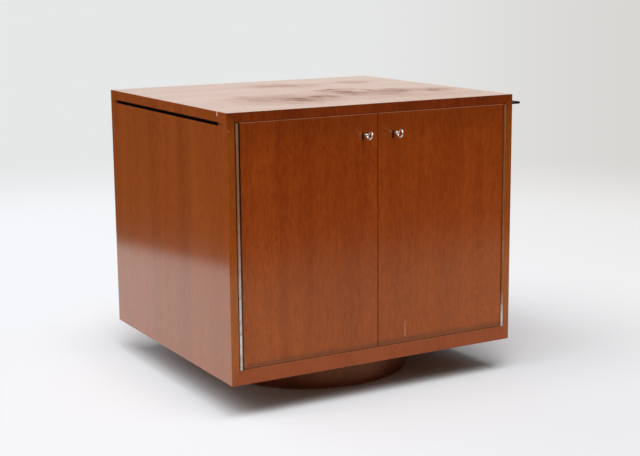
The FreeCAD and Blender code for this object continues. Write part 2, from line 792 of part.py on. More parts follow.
def make_door(name, side):
    door = new_body(f"{name}_door")
    pad(door, "XZ", (FRONT, DOOR_BACK),
        loops=[rectangle(across(side, "door_meeting_gap / 2", DOOR_EDGE), (DOOR_LOW, DOOR_HIGH))])
    ease(door, "Chamfer", "door_arris", lambda a, b: near(a.y, value(FRONT)) and near(b.y, a.y))
    keyhole = (from_key(side, 0), KEY_Z)
    pocket(door, "XZ", (FRONT, DOOR_BACK), rounds=[(keyhole, "keyhole_radius + liner_wall")])
    pocket(door, "XZ", (FRONT, DOOR_BACK), loops=[keyhole_loop(side, "liner_wall")])
    screw_holes(door, "YZ", across(side, f"{DOOR_EDGE} - hinge_screw_length", DOOR_EDGE),
                *HINGE_SCREWS, **HINGE_ROW)
    screw_holes(door, "XZ", (f"{DOOR_BACK} - lock_screw_length", DOOR_BACK),
                lock_screw_places(side), "lock_screw_radius")

    liner = new_body(f"{name}_keyhole_liner")
    depth = (FRONT, f"{FRONT} + liner_depth")
    pad(liner, "XZ", depth, rounds=[(keyhole, "keyhole_radius + liner_wall - fit_gap / 2")])
    pad(liner, "XZ", depth, loops=[keyhole_loop(side, "(liner_wall - fit_gap / 2)")])
    pocket(liner, "XZ", depth, rounds=[(keyhole, "keyhole_radius")])
    pocket(liner, "XZ", depth, loops=[keyhole_loop(side, "0")])


def make_lock(name, side):
    low = f"({KEY_Z} - lock_fall)"
    high = f"({KEY_Z} + lock_rise)"
    rim = f"({DOOR_BACK} + lock_rim_thickness)"
    flange = rectangle(across(side, LOCK_EDGE, f"{LOCK_TAIL} + lock_rim_width"),
                       (f"{low} - lock_rim_width", high))
    case = new_body(f"{name}_lock_case")
    pad(case, "XZ", (DOOR_BACK, rim), loops=[flange])
    pad(case, "XZ", (DOOR_BACK, LOCK_REAR),
        loops=[rectangle(across(side, LOCK_EDGE, LOCK_TAIL), (low, high))])
    cavity = rectangle(across(side, f"{LOCK_EDGE} + lock_wall", f"{LOCK_TAIL} - lock_wall"),
                       (f"{low} + lock_wall", f"{high} - lock_wall"))
    pocket(case, "XZ", (DOOR_BACK, f"{LOCK_REAR} - lock_wall"), loops=[cavity])
    pocket(case, "YZ", across(side, LOCK_EDGE, f"{LOCK_EDGE} + lock_wall"),
           loops=[bolt_hole("bolt_clearance")])
    screw_holes(case, "XZ", (DOOR_BACK, rim), lock_screw_places(side), "lock_screw_radius")

    screws(f"{name}_lock_screws", "XZ", lock_screw_places(side),
           (f"{DOOR_BACK} - lock_screw_length", rim), (rim, f"{rim} + lock_screw_head_height"),
           "lock_screw_radius", "lock_screw_head_radius", 1)

    post = cylinder(f"{name}_lock_post", "lock_post_radius", "lock_post_length",
                    (from_key(side, 0), f"{LOCK_REAR} - lock_wall", KEY_Z), pitch=90)
    pieces[post.Label] = post

    bolt = new_body(f"{name}_bolt")
    talon = f"({BOLT_LOW} + talon_depth)"
    pad(bolt, "XZ", (BOLT_FRONT, BOLT_REAR), loops=[[
        (from_key(side, "-bolt_tail"), BOLT_LOW),
        (from_key(side, "-talon_back"), BOLT_LOW),
        (from_key(side, "-talon_back"), talon),
        (from_key(side, "talon_front"), talon),
        (from_key(side, "talon_front"), BOLT_LOW),
        (f"{side} * {LOCK_EDGE}", BOLT_LOW),
        (f"{side} * {LOCK_EDGE}", BOLT_HIGH),
        (from_key(side, "-bolt_tail"), BOLT_HIGH),
    ]])


def make_key(name, side):
    """A hollow-shank key: modelled upright on its own axis, then set in the lock at its tilt."""
    shank_end = BOLT_REAR
    bow_edge = f"({FRONT} - key_reach)"
    bow_centre = f"({bow_edge} - bow_ring_radius - bow_wire_radius)"
    shank = cylinder(f"{name}_key_shank", "key_shank_radius", f"{shank_end} - {bow_edge} + bow_wire_radius",
                     ("0", shank_end, "0"), pitch=90)
    collar = cylinder(f"{name}_key_collar", "key_collar_radius", "key_collar_length",
                      ("0", f"{bow_edge} + 2 * key_collar_length", "0"), pitch=90)
    bow = doc.addObject("Part::Torus", f"{name}_key_bow")
    bind(bow, "Radius1", "bow_ring_radius")
    bind(bow, "Radius2", "bow_wire_radius")
    bow.Placement = Placement(Vector(), Rotation(Vector(0, 1, 0), 90))
    bind(bow, "Placement.Base.y", bow_centre)
    bit = doc.addObject("Part::Box", f"{name}_key_bit")
    bind(bit, "Length", "bit_thickness")
    bind(bit, "Width", "bolt_thickness")
    bind(bit, "Height", "bit_radius")
    bind(bit, "Placement.Base.x", "-bit_thickness / 2")
    bind(bit, "Placement.Base.y", BOLT_FRONT)
    bind(bit, "Placement.Base.z", "-bit_radius")
    blank = doc.addObject("Part::MultiFuse", f"{name}_key_blank")
    blank.Shapes = [shank, collar, bow, bit]
    bore = cylinder(f"{name}_key_bore", "lock_post_radius + key_bore_clearance", "key_bore_depth",
                    ("0", shank_end, "0"), pitch=90)
    key = doc.addObject("Part::Cut", f"{name}_key")
    key.Base = blank
    key.Tool = bore
    key.Placement = Placement(Vector(), Rotation(Vector(0, 1, 0), 1))
    bind(key, "Placement.Base.x", from_key(side, 0))
    bind(key, "Placement.Base.z", KEY_Z)
    bind(key, "Placement.Rotation.Angle", f"{name}_key_tilt")
    key.Label = f"{name}_key"
    pieces[key.Label] = key


# ---------------------------------------------------------------- fittings inside the bays


def make_bottle_rack():
    x = (f"(-{INNER} + bay_clearance)", f"(-{POST_HALF} - bay_clearance)")
    front = f"({INSIDE_FRONT} + rack_setback)"
    back = f"({front} + (rack_rows - 1) * rack_pitch + 2 * (rack_hole_radius + rack_margin))"
    low = f"({FLOOR} + rack_height)"
    first_x = f"((-{INNER} - {POST_HALF}) / 2 - (rack_columns - 1) * rack_pitch / 2)"
    first_y = f"({front} + rack_hole_radius + rack_margin)"
    holes = [
        (f"({first_x} + {column} * rack_pitch)", f"({first_y} + {row} * rack_pitch)")
        for row in range(SIZES["rack_rows"]) for column in range(SIZES["rack_columns"])
    ]
    rack = new_body("bottle_rack")
    pad(rack, "XY", (low, f"{low} + rack_thickness"),
        loops=[rectangle(x, (front, back))], rounds=[(place, "rack_hole_radius") for place in holes])
    board("left_rack_cleat", (f"-{INNER}", f"-{INNER} + cleat_size"), (front, back),
          (f"{low} - cleat_size", low))
    board("right_rack_cleat", (f"-{POST_HALF} - cleat_size", f"-{POST_HALF}"), (front, back),
          (f"{low} - cleat_size", low))


def make_shelf():
    x = (f"({POST_HALF} + bay_clearance)", f"({INNER} - bay_clearance)")
    pin_level = shelf_row_level("shelf_rows_below")
    low = f"({pin_level} + shelf_pin_radius)"
    board("tumbler_shelf", x, (f"{INSIDE_FRONT} + shelf_setback", f"{INSIDE_BACK} - shelf_setback"),
          (low, f"{low} + shelf_thickness"))
    pins = new_body("shelf_pins")
    rounds = [((y, pin_level), "shelf_pin_radius") for y in SHELF_PIN_COLUMNS]
    pad(pins, "YZ", (f"{POST_HALF} - shelf_pin_depth", f"{POST_HALF} + shelf_pin_reach"), rounds=rounds)
    pad(pins, "YZ", (f"{INNER} - shelf_pin_reach", f"{INNER} + shelf_pin_depth"), rounds=rounds)


# ---------------------------------------------------------------- build, check and write

make_plinth()
make_swivel()
make_case_boards()
make_back()
make_partition()
make_leaf_bed()
make_leaf()
make_bottle_rack()
make_shelf()
for side_name, side_sign in SIDES.items():
    make_side(side_name, side_sign)
    make_strike(side_name, side_sign)
    make_hinge(side_name, side_sign)
    make_door(side_name, side_sign)
    make_lock(side_name, side_sign)
    make_key(side_name, side_sign)
doc.recompute()

for thing in doc.Objects:
    if "Invalid" in thing.State or "Error" in thing.State:
        raise RuntimeError(f"{thing.Label} failed: {thing.State}")
    if thing.TypeId == "PartDesign::Pocket":
        before = thing.BaseFeature.Shape.Volume
        if thing.Shape.Volume > before - 1e-6:
            raise RuntimeError(f"{thing.Label} cuts nothing")

os.makedirs("parts", exist_ok=True)
for label, thing in pieces.items():
    if thing.Shape.isNull() or not thing.Shape.isValid():
        raise RuntimeError(f"{label} has no sound shape")
    thing.Shape.exportStep(f"parts/{label}.step")
    print(f"{label}: {len(thing.Shape.Solids)} solid(s), {thing.Shape.Volume / 1000:.1f} cm3")
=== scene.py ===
# %% [markdown]
# # A revolving cellarette in Blender
#
# This lesson dresses a bar cabinet that turns on a round plinth. It has two doors on piano hinges, a key
# in each door, and a black serving leaf that slides out through a slot near the top of either side. The
# boards come ready made from a CAD model, so the work here is in the finishes, the keys, the lights and
# the camera.

# %% Load the cabinet
from math import cos, pi, radians, sin

import bmesh
import bpy
from mathutils import Matrix, Vector


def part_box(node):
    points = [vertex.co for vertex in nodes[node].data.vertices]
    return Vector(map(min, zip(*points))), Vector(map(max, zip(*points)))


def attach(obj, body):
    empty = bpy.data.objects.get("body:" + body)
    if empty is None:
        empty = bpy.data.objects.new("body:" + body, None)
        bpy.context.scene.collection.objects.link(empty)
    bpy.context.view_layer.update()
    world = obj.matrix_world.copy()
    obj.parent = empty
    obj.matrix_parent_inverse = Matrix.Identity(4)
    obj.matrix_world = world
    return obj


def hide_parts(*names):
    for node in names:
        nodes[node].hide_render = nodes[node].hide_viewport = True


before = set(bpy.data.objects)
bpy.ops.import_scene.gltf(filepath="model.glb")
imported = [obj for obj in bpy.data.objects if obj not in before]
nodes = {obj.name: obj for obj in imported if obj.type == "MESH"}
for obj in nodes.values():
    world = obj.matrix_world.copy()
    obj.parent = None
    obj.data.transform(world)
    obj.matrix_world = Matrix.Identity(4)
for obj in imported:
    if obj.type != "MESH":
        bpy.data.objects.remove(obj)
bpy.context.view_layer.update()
MM = 0.001

# %% [markdown]
# Every finish is a small tree of shader nodes. Such a tree can be wired by hand in the shader editor, but
# a few helpers make it shorter to write and easier to read. The first one starts a finish. Values that
# are the same all over a surface are set on the shader itself, because that is where other programs look
# for them.

# %% Start a finish
def new_finish(name, roughness, metallic=0.0, coat=0.0, coat_roughness=0.1, sheen=(1.0, 1.0, 1.0)):
    """A material with its main shader, ready for its colour and grain."""
    finish = bpy.data.materials.new(name)
    finish.use_nodes = True
    shader = finish.node_tree.nodes["Principled BSDF"]
    shader.inputs["Roughness"].default_value = roughness
    shader.inputs["Metallic"].default_value = metallic
    shader.inputs["Coat Weight"].default_value = coat
    shader.inputs["Coat Roughness"].default_value = coat_roughness
    shader.inputs["Specular Tint"].default_value = (*sheen, 1.0)
    return finish, finish.node_tree, shader


def paint(red, green, blue):
    """A colour given as it looks on screen, 0 to 255, turned into the linear values a shader wants."""
    shown = [channel / 255 for channel in (red, green, blue)]
    return [s / 12.92 if s <= 0.04045 else ((s + 0.055) / 1.055) ** 2.4 for s in shown] + [1.0]


print("mid grey as a shader wants it:", [round(channel, 3) for channel in paint(128, 128, 128)])

# %% [markdown]
# The next helpers add nodes to a finish and plug them together. An input is named by its label, or by its
# number where several share one label. A plug is either a plain value or the output of another node, so
# the same call serves for both.

# %% Add nodes to a finish
def input_of(node, key):
    """A node's input by its label, or by its number where the key is i0, i1 and so on."""
    if key[0] == "i" and key[1:].isdigit():
        return node.inputs[int(key[1:])]
    return node.inputs[key.replace("_", " ")]


def add(tree, kind, settings=None, **plugs):
    """A node of this kind, with its settings and its plugs."""
    node = tree.nodes.new("ShaderNode" + kind)
    for key, setting in (settings or {}).items():
        setattr(node, key, setting)
    for key, plug in plugs.items():
        if isinstance(plug, bpy.types.NodeSocket):
            tree.links.new(plug, input_of(node, key))
        else:
            input_of(node, key).default_value = plug
    return node


def parts(tree, vector):
    """The x, y and z parts of a vector."""
    return add(tree, "SeparateXYZ", Vector=vector).outputs


print("nodes can be added")

# %% [markdown]
# A finish is worked out by small steps of arithmetic on what the nodes give. Most shapes in a finish come
# from one of them, a soft step from 0 to 1 over a short distance. Marks of wear are then colours blended
# over the wood, as strongly as such a step says.

# %% Sums and blends
def sums(tree, operation, first, second=0.0, third=0.0, clamp=False):
    """One arithmetic step on numbers or on the outputs of other nodes."""
    node = add(tree, "Math", {"operation": operation, "use_clamp": clamp}, i0=first, i1=second, i2=third)
    return node.outputs[0]


def vector_sums(tree, operation, first, second=(0, 0, 0), result="Vector"):
    """One arithmetic step on vectors."""
    return add(tree, "VectorMath", {"operation": operation}, i0=first, i1=second).outputs[result]


def smooth_range(tree, value, low, high, to_low=0.0, to_high=1.0):
    """A soft step from one number to another while the value goes from low to high."""
    node = add(tree, "MapRange", {"interpolation_type": "SMOOTHSTEP"},
               Value=value, From_Min=low, From_Max=high, To_Min=to_low, To_Max=to_high)
    return node.outputs["Result"]


def blend_colours(tree, share, first, second):
    """Two colours mixed: all of the first at a share of 0, and all of the second at 1."""
    return add(tree, "Mix", {"data_type": "RGBA"}, i0=share, i6=first, i7=second).outputs[2]


def mark(tree, colour, share, tone, strength):
    """A colour with a mark of another tone over it, at this strength where the share is 1."""
    return blend_colours(tree, sums(tree, "MULTIPLY", share, strength), colour, tone)


print("colours can be blended")

# %% [markdown]
# Mahogany veneer has patterns of several sizes. Broad bands of lighter and darker wood run the length of
# the board, thin streaks lie inside them, a mottle breaks the streaks up, and tiny open pores make short
# dark flecks that crowd together in places. A scan of real veneer would show all this too, but it would
# repeat from board to board. Noise doesn't, so every layer here is the same noise, drawn out along the
# grain by its own amount.

# %% Layers of grain
GRAIN = {
    # layer: waves per metre across the grain and along it, detail, distortion
    "bands": (13, 0.8, 3, 0.3),
    "streaks": (170, 8, 3, 0.4),
    "mottle": (190, 48, 4, 0.6),
    "pores": (520, 80, 2, 0.0),
    "crowding": (7, 2.5, 3, 0.0),
}


def place(tree):
    """Where on the object a point is, in metres."""
    return add(tree, "TexCoord").outputs["Object"]


def stretched_noise(tree, where, scale, detail=3.0, roughness=0.55, distortion=0.0, shift=(0, 0, 0)):
    """Noise with this many waves per metre along x, y and z."""
    mapped = add(tree, "Mapping", Vector=where, Location=shift, Scale=scale).outputs[0]
    noise = add(tree, "TexNoise", Vector=mapped, Scale=1.0, Detail=detail, Roughness=roughness,
                Distortion=distortion)
    return noise.outputs["Fac"]


def grain_layer(tree, where, run, layer, shift):
    """One layer of the grain, which runs along x, y or z."""
    across, length, detail, distortion = GRAIN[layer]
    scale = [length if axis == run else across for axis in "xyz"]
    return stretched_noise(tree, where, scale, detail=detail, distortion=distortion, shift=shift)


print("layers of grain:", ", ".join(GRAIN))

# %% [markdown]
# The layers are added up, each with its own weight, and the sum decides how light the wood is at that
# point. The pores come last, as dark flecks over the rest. The same pores are handed on, because they are
# also the only relief that a polished veneer has.

# %% The colour of a veneer
TONE_WEIGHTS = {"bands": 0.95, "streaks": 0.45, "mottle": 0.9}
TONE_RANGE = (0.8, 1.5)
PORE_RANGE = (0.56, 0.72)
CROWDING_RANGE = (0.4, 0.6, 0.35, 1.3)
PORE_SHADE = 0.45


def veneer_colour(tree, where, run, tones, shift=(0, 0, 0), fleck=0.5):
    """The colour of a sheet of veneer from a dark and a light tone, and its pores."""
    tone = 0.0
    for layer, weight in TONE_WEIGHTS.items():
        tone = sums(tree, "MULTIPLY_ADD", grain_layer(tree, where, run, layer, shift), weight, tone)
    colour = blend_colours(tree, smooth_range(tree, tone, *TONE_RANGE), *tones)
    crowding = smooth_range(tree, grain_layer(tree, where, run, "crowding", shift), *CROWDING_RANGE)
    flecks = smooth_range(tree, grain_layer(tree, where, run, "pores", shift), *PORE_RANGE)
    pores = sums(tree, "MULTIPLY", flecks, crowding, clamp=True)
    pore_tone = [channel * PORE_SHADE for channel in tones[0][:3]] + [1.0]
    return mark(tree, colour, pores, pore_tone, fleck), pores


print("pores are", PORE_SHADE, "times as bright as the dark tone")

# %% [markdown]
# A board's finish is its veneer under a polish. The polish is three numbers: how rough the wood's own
# gloss is, how much clear coat lies over it, and how rough that coat is. The pores are sunk a little with
# a bump, because they are far too fine to be cut in the mesh.

# %% A polished board
PORE_RELIEF = {"Strength": 0.25, "Distance": 0.2 * MM}


def finish_veneer(name, run, tones, polish, shift=(0, 0, 0), fleck=0.5, sheen=(1.0, 1.0, 1.0)):
    """A finish of one veneer all over; its colour can be altered afterwards."""
    roughness, coat, coat_roughness = polish
    finish, tree, shader = new_finish(name, roughness, coat=coat, coat_roughness=coat_roughness, sheen=sheen)
    where = place(tree)
    colour, pores = veneer_colour(tree, where, run, tones, shift, fleck)
    tree.links.new(colour, shader.inputs["Base Color"])
    relief = add(tree, "Bump", Height=pores, **PORE_RELIEF)
    relief.invert = True
    tree.links.new(relief.outputs[0], shader.inputs["Normal"])
    return finish, tree, shader, where, colour


print("boards can be veneered")

# %% [markdown]
# Wear comes in a few shapes. Some of it follows an edge, and some is one small spot with straight sides.
# Each of these helpers tells how strongly a mark shows at a point, and the mark is then a tone and a
# strength over the veneer. Wear could be painted on an image, but marks that are placed from a board's own
# edges stay right when the board's size changes.

# %% Shapes of wear
SPOT_EDGE = (1.15, 0.85)


def along_edge(tree, coordinate, edge, starts, full):
    """How strongly a mark along an edge shows; it starts and is full at these distances from the edge."""
    return smooth_range(tree, coordinate, edge + starts, edge + full)


def spot(tree, where, centre, half):
    """1 inside a small upright box of these half sizes, and 0 outside."""
    size = vector_sums(tree, "ABSOLUTE", vector_sums(tree, "SUBTRACT", where, centre))
    over = parts(tree, vector_sums(tree, "DIVIDE", size, half))
    largest = sums(tree, "MAXIMUM", sums(tree, "MAXIMUM", over[0], over[1]), over[2])
    return smooth_range(tree, largest, *SPOT_EDGE)


print("wear can be laid along edges and in spots")

# %% [markdown]
# The doors are the darkest and reddest veneer, rubbed to a soft satin. Their lower halves look paler only
# because they mirror the bright floor, so that is left to the light. The top of each door is darkened with
# painted shade, its upper edge carries a painted highlight, and a wavy darker band lies along the foot.

# %% Wear on both doors
# painted shade: the top of each door is darker, as the shade under the top board
TOP_SHADE = (paint(70, 22, 6), 0.2)
# painted highlight: a pale line along the door's upper edge, as the light on its arris and top face
PAINTED_TOP_HIGHLIGHT = (paint(226, 160, 130), 0.35)
# a darker wavy band along the foot of each door
FOOT_BAND = (paint(84, 40, 24), 0.5)
TOP_SHADE_REACH = (-90 * MM, 0)
TOP_HIGHLIGHT_REACH = (-2.2 * MM, -1.2 * MM)
FOOT_BAND_REACH = (28 * MM, 16 * MM)
FOOT_BAND_WAVES = (14, 1, 60)
FOOT_BAND_SWAY = 20 * MM
door_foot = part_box("left_door")[0][2]
door_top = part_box("left_door")[1][2]


def aged_door(tree, where, colour):
    """A door's colour: painted shade and a painted highlight at the top, a darker wavy band at the foot."""
    height = parts(tree, where)[2]
    colour = mark(tree, colour, along_edge(tree, height, door_top, *TOP_SHADE_REACH), *TOP_SHADE)
    colour = mark(tree, colour, along_edge(tree, height, door_top, *TOP_HIGHLIGHT_REACH), *PAINTED_TOP_HIGHLIGHT)
    waves = stretched_noise(tree, where, FOOT_BAND_WAVES)
    wavy_height = sums(tree, "MULTIPLY_ADD", waves, FOOT_BAND_SWAY, height)
    return mark(tree, colour, along_edge(tree, wavy_height, door_foot, *FOOT_BAND_REACH), *FOOT_BAND)


print(f"the doors go from {door_foot:.3f} m to {door_top:.3f} m")

# %% [markdown]
# Each door also has a mark of its own. The left door is darkened beside its hinge with painted shade, and
# the right door has one pale upright scratch. Each sheet of veneer is cut from another part of the noise,
# so that the two doors don't have the same grain.

# %% Veneer for the doors
DOOR_TONES = (paint(147, 59, 14), paint(176, 79, 23))
DOOR_POLISH = (0.2, 0.0, 0.2)
DOOR_SHIFTS = {"left": (3.1, 0.0, 0.7), "right": (7.7, 0.0, 2.9)}
WARM_SHEEN = (1.0, 0.97, 0.58)
# painted shade: a dark band along the left door's hinge edge, as the shade in the gap by the hinge
PAINTED_HINGE_SHADE = (paint(30, 11, 5), 0.9)
HINGE_SHADE_REACH = (5.8 * MM, 4.6 * MM)
SCRATCHED_WOOD = (paint(205, 160, 130), 0.6)
door_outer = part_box("left_door")[0][0]
door_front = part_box("left_door")[0][1]
SCRATCH = ((74 * MM, door_front, 148.5 * MM), (1.1 * MM, 2 * MM, 19.5 * MM))

for side, shift in DOOR_SHIFTS.items():
    finish, tree, shader, where, colour = finish_veneer(
        f"{side}_door_veneer", "z", DOOR_TONES, DOOR_POLISH, shift, sheen=WARM_SHEEN)
    colour = aged_door(tree, where, colour)
    if side == "left":
        hinge_shade = along_edge(tree, parts(tree, where)[0], door_outer, *HINGE_SHADE_REACH)
        colour = mark(tree, colour, hinge_shade, *PAINTED_HINGE_SHADE)
    else:
        colour = mark(tree, colour, spot(tree, where, *SCRATCH), *SCRATCHED_WOOD)
    tree.links.new(colour, shader.inputs["Base Color"])
    nodes[f"{side}_door"].data.materials[0] = finish
print("both doors veneered")

# %% [markdown]
# Each side board is lipped at its front edge with a yellower strip, which darkens where it meets the top
# and the bottom. The lipping isn't a piece of its own, because it is glued on flush and can't be told
# apart by its shape. The finish gives it a colour of its own instead, chosen by which way the surface
# faces.

# %% Lipping on the front edges
EDGE_TONES = (paint(152, 72, 18), paint(179, 90, 32))
RAIL_TONES = (paint(125, 46, 12), paint(154, 64, 19))
NEAR_TOP = (RAIL_TONES[0], 0.6)
NEAR_FOOT = (paint(146, 61, 22), 0.8)
# painted shade: a dark line on the left side's front edge by the hinge, as the shade in the gap there
EDGE_HINGE_SHADE = (paint(44, 18, 8), 0.85)
NEAR_TOP_REACH = (-70 * MM, 0)
NEAR_FOOT_REACH = (60 * MM, 0)
EDGE_HINGE_SHADE_REACH = (-2.6 * MM, -1.4 * MM)
FACING_RANGE = (0.5, 0.8)
case_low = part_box("case_bottom")[0][2]
case_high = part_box("case_top")[1][2]
side_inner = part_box("left_side")[1][0]


def facing(tree, axis):
    """How much the surface faces along an axis, either way, from 0 to 1."""
    normal = add(tree, "TexCoord").outputs["Normal"]
    part = parts(tree, normal)["xyz".index(axis)]
    return smooth_range(tree, sums(tree, "ABSOLUTE", part), *FACING_RANGE)


def lipping(tree, where, shift, hinge_shaded):
    """The colour of a side's front edge, with painted shade beside the hinge if wanted."""
    across, _, height = parts(tree, where)
    edge, _ = veneer_colour(tree, where, "z", EDGE_TONES, shift, fleck=0.4)
    edge = mark(tree, edge, along_edge(tree, height, case_high, *NEAR_TOP_REACH), *NEAR_TOP)
    edge = mark(tree, edge, along_edge(tree, height, case_low, *NEAR_FOOT_REACH), *NEAR_FOOT)
    if hinge_shaded:
        edge = mark(tree, edge, along_edge(tree, across, side_inner, *EDGE_HINGE_SHADE_REACH), *EDGE_HINGE_SHADE)
    return edge


print(f"the case stands from {case_low:.3f} m to {case_high:.3f} m")

# %% [markdown]
# The sides carry a smoother, glossier polish than the doors, which is why they mirror the floor so
# clearly. A clear coat over the wood gives that mirror, and it is thinner on the front edges. The wood
# turns browner towards the foot, the rear edge is darker, and the slot for the leaf is painted black as
# painted shade. On the left side, a chip and a fleck show bare wood.

# %% Veneer for the sides
SIDE_TONES = (paint(157, 73, 25), paint(182, 92, 35))
SIDE_POLISH = (0.14, 0.43, 0.03)
SIDE_SHIFTS = {"left": (1.3, 0.4, 5.2), "right": (9.4, 6.0, 1.1)}
SIDE_SHEEN = (1.0, 0.85, 0.45)
EDGE_COAT_LOSS = 0.3
SIDE_BROWN = (paint(96, 62, 34), 0.25)
# a darker line along the rear edge of each side
REAR_EDGE = (paint(60, 28, 14), 0.7)
# painted shade: the slot's opening is painted black, as the shade inside it
PAINTED_SLOT_SHADE = (paint(20, 15, 13), 0.92)
SIDE_BROWN_REACH = (400 * MM, 50 * MM)
REAR_EDGE_REACH = (-3.5 * MM, -2 * MM)
BARE_WOOD = paint(252, 216, 194)
FLECK_STRENGTH = 0.6
side_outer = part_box("left_side")[0][0]
side_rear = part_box("left_side")[1][1]
slot_low, slot_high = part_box("left_leaf_lip")[0][2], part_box("left_leaf_lip")[1][2]
SLOT = ((0.0, 0.0, (slot_low + slot_high) / 2 + 0.4 * MM), (0.5, 295.5 * MM, 4 * MM))
CHIP = ((side_outer, -289 * MM, case_low + 594.8 * MM), (4 * MM, 2.4 * MM, 5 * MM))
FLECK = ((-372 * MM, -335 * MM, case_low + 561 * MM), (0.8 * MM, 2 * MM, 1.2 * MM))

for side, shift in SIDE_SHIFTS.items():
    finish, tree, shader, where, colour = finish_veneer(
        f"{side}_side_veneer", "z", SIDE_TONES, SIDE_POLISH, shift, fleck=0.3, sheen=SIDE_SHEEN)
    _, depth, height = parts(tree, where)
    colour = mark(tree, colour, along_edge(tree, height, case_low, *SIDE_BROWN_REACH), *SIDE_BROWN)
    frontal = facing(tree, "y")
    edge = lipping(tree, where, (shift[1], shift[0], shift[2]), hinge_shaded=side == "left")
    colour = blend_colours(tree, frontal, colour, edge)
    coat = sums(tree, "MULTIPLY_ADD", frontal, -EDGE_COAT_LOSS, SIDE_POLISH[1])
    tree.links.new(coat, shader.inputs["Coat Weight"])
    colour = mark(tree, colour, along_edge(tree, depth, side_rear, *REAR_EDGE_REACH), *REAR_EDGE)
    colour = mark(tree, colour, spot(tree, where, *SLOT), *PAINTED_SLOT_SHADE)
    if side == "left":
        fleck = sums(tree, "MULTIPLY", spot(tree, where, *FLECK), FLECK_STRENGTH)
        bare = sums(tree, "MAXIMUM", spot(tree, where, *CHIP), fleck)
        colour = blend_colours(tree, bare, colour, BARE_WOOD)
    tree.links.new(colour, shader.inputs["Base Color"])
    nodes[f"{side}_side"].data.materials[0] = finish
print(f"sides veneered, with the slot at {slot_low:.4f} to {slot_high:.4f} m")

# %% [markdown]
# The top has had years of glasses and sun. Its wood has bleached, and dull brown stains have formed where
# drinks stood: a few broad smears, one ring and some smaller patches. They could be painted by hand on an
# image, but a short list of spots is easier to change. Each stain is a squashed round spot whose outline
# is pushed about by noise. The places are given along and across a slanting line, because the stains lie
# that way.

# %% Stains for the top
STAINS = [
    # middle, half sizes, raggedness, strength
    ((-0.032, -0.188), (0.170, 0.140), 0.9, 0.60),
    ((-0.014, -0.190), (0.066, 0.085), 0.8, 1.00),
    ((0.042, -0.135), (0.060, 0.065), 0.8, 0.85),
    ((-0.055, 0.165), (0.125, 0.085), 0.9, 0.45),
    ((0.095, 0.000), (0.070, 0.060), 0.8, 0.60),
    ((0.214, 0.010), (0.085, 0.070), 0.9, 0.80),
    ((0.310, 0.032), (0.080, 0.075), 0.8, 0.75),
    ((0.120, 0.262), (0.070, 0.075), 0.9, 0.35),
    ((0.130, -0.055), (0.160, 0.085), 0.9, 0.70),
    ((0.230, -0.080), (0.270, 0.200), 0.6, 0.22),
]
RING = ((0.099, 0.024), (0.062, 0.042), 0.7)
OUTLINE_WAVES = (9, 26, 1)
ANY_HEIGHT = 1000


def stain(tree, where, centre, half, ragged, shift):
    """How far a point is from a stain's middle, as a share of its half sizes, made uneven by noise."""
    offset = vector_sums(tree, "SUBTRACT", where, (*centre, 0))
    flat = vector_sums(tree, "DIVIDE", offset, (*half, ANY_HEIGHT))
    reach = vector_sums(tree, "LENGTH", flat, result="Value")
    wander = stretched_noise(tree, where, OUTLINE_WAVES, roughness=0.5, shift=shift)
    return sums(tree, "MULTIPLY_ADD", sums(tree, "SUBTRACT", wander, 0.5), ragged, reach)


print(f"{len(STAINS)} stains and a ring")

# %% [markdown]
# At each point the strongest stain wins, so that stains that overlap don't turn black. The ring is the
# rim of a spot instead of its inside, with gaps where the glass stood unevenly. Finer noise then thins
# everything out.

# %% How stained a point is
STAIN_TURN = radians(29.6)
STAIN_FADE = (1.2, 0.1)
RING_FADE = (0.42, 0.05, 0.0, 0.9)
GAP_WAVES, GAP_RANGE = (14, 14, 1), (0.3, 0.5)
THIN_WAVES, THIN_RANGE = (22, 60, 1), (0.36, 0.6, 0.25, 1.0)


def stained(tree, where):
    """How stained the top is at a point, from 0 to 1."""
    turned = add(tree, "Mapping", Vector=where, Rotation=(0, 0, STAIN_TURN)).outputs[0]
    worn = 0.0
    for number, (centre, half, ragged, strength) in enumerate(STAINS):
        reach = stain(tree, turned, centre, half, ragged, (number * 3.1, number * 1.7, 0))
        worn = sums(tree, "MAXIMUM", worn, smooth_range(tree, reach, *STAIN_FADE, 0.0, strength))
    from_ring = sums(tree, "ABSOLUTE", sums(tree, "SUBTRACT", stain(tree, turned, *RING, (1, 7, 0)), 1.0))
    gaps = stretched_noise(tree, turned, GAP_WAVES, detail=1, shift=(8, 3, 0))
    gaps = smooth_range(tree, gaps, *GAP_RANGE)
    broken_ring = sums(tree, "MULTIPLY", smooth_range(tree, from_ring, *RING_FADE), gaps)
    worn = sums(tree, "MAXIMUM", worn, broken_ring)
    thin = stretched_noise(tree, turned, THIN_WAVES, detail=4, roughness=0.65, shift=(4, 4, 0))
    return sums(tree, "MULTIPLY", worn, smooth_range(tree, thin, *THIN_RANGE))


print("stains can be laid")

# %% [markdown]
# The top board shows two veneers: the bleached one above, with its grain along the board, and upright
# grain on the edges, which match the doors. A dark line runs along the arris between them. Where a stain
# lies, the polish is gone too, so the wood is rougher there and has no coat.

# %% Veneer for the top
TOP_TONES = (paint(192, 132, 102), paint(216, 170, 142))
TOP_POLISH = (0.32, 0.3, 0.12)
TOP_ROUGHNESS, STAIN_ROUGHENS = 0.25, 0.5
STAIN_BROWN = paint(112, 48, 18)
# a dark line along the top's upper arris
ARRIS = (paint(52, 18, 8), 0.6)
ARRIS_REACH = (-2.4 * MM, -1.2 * MM)

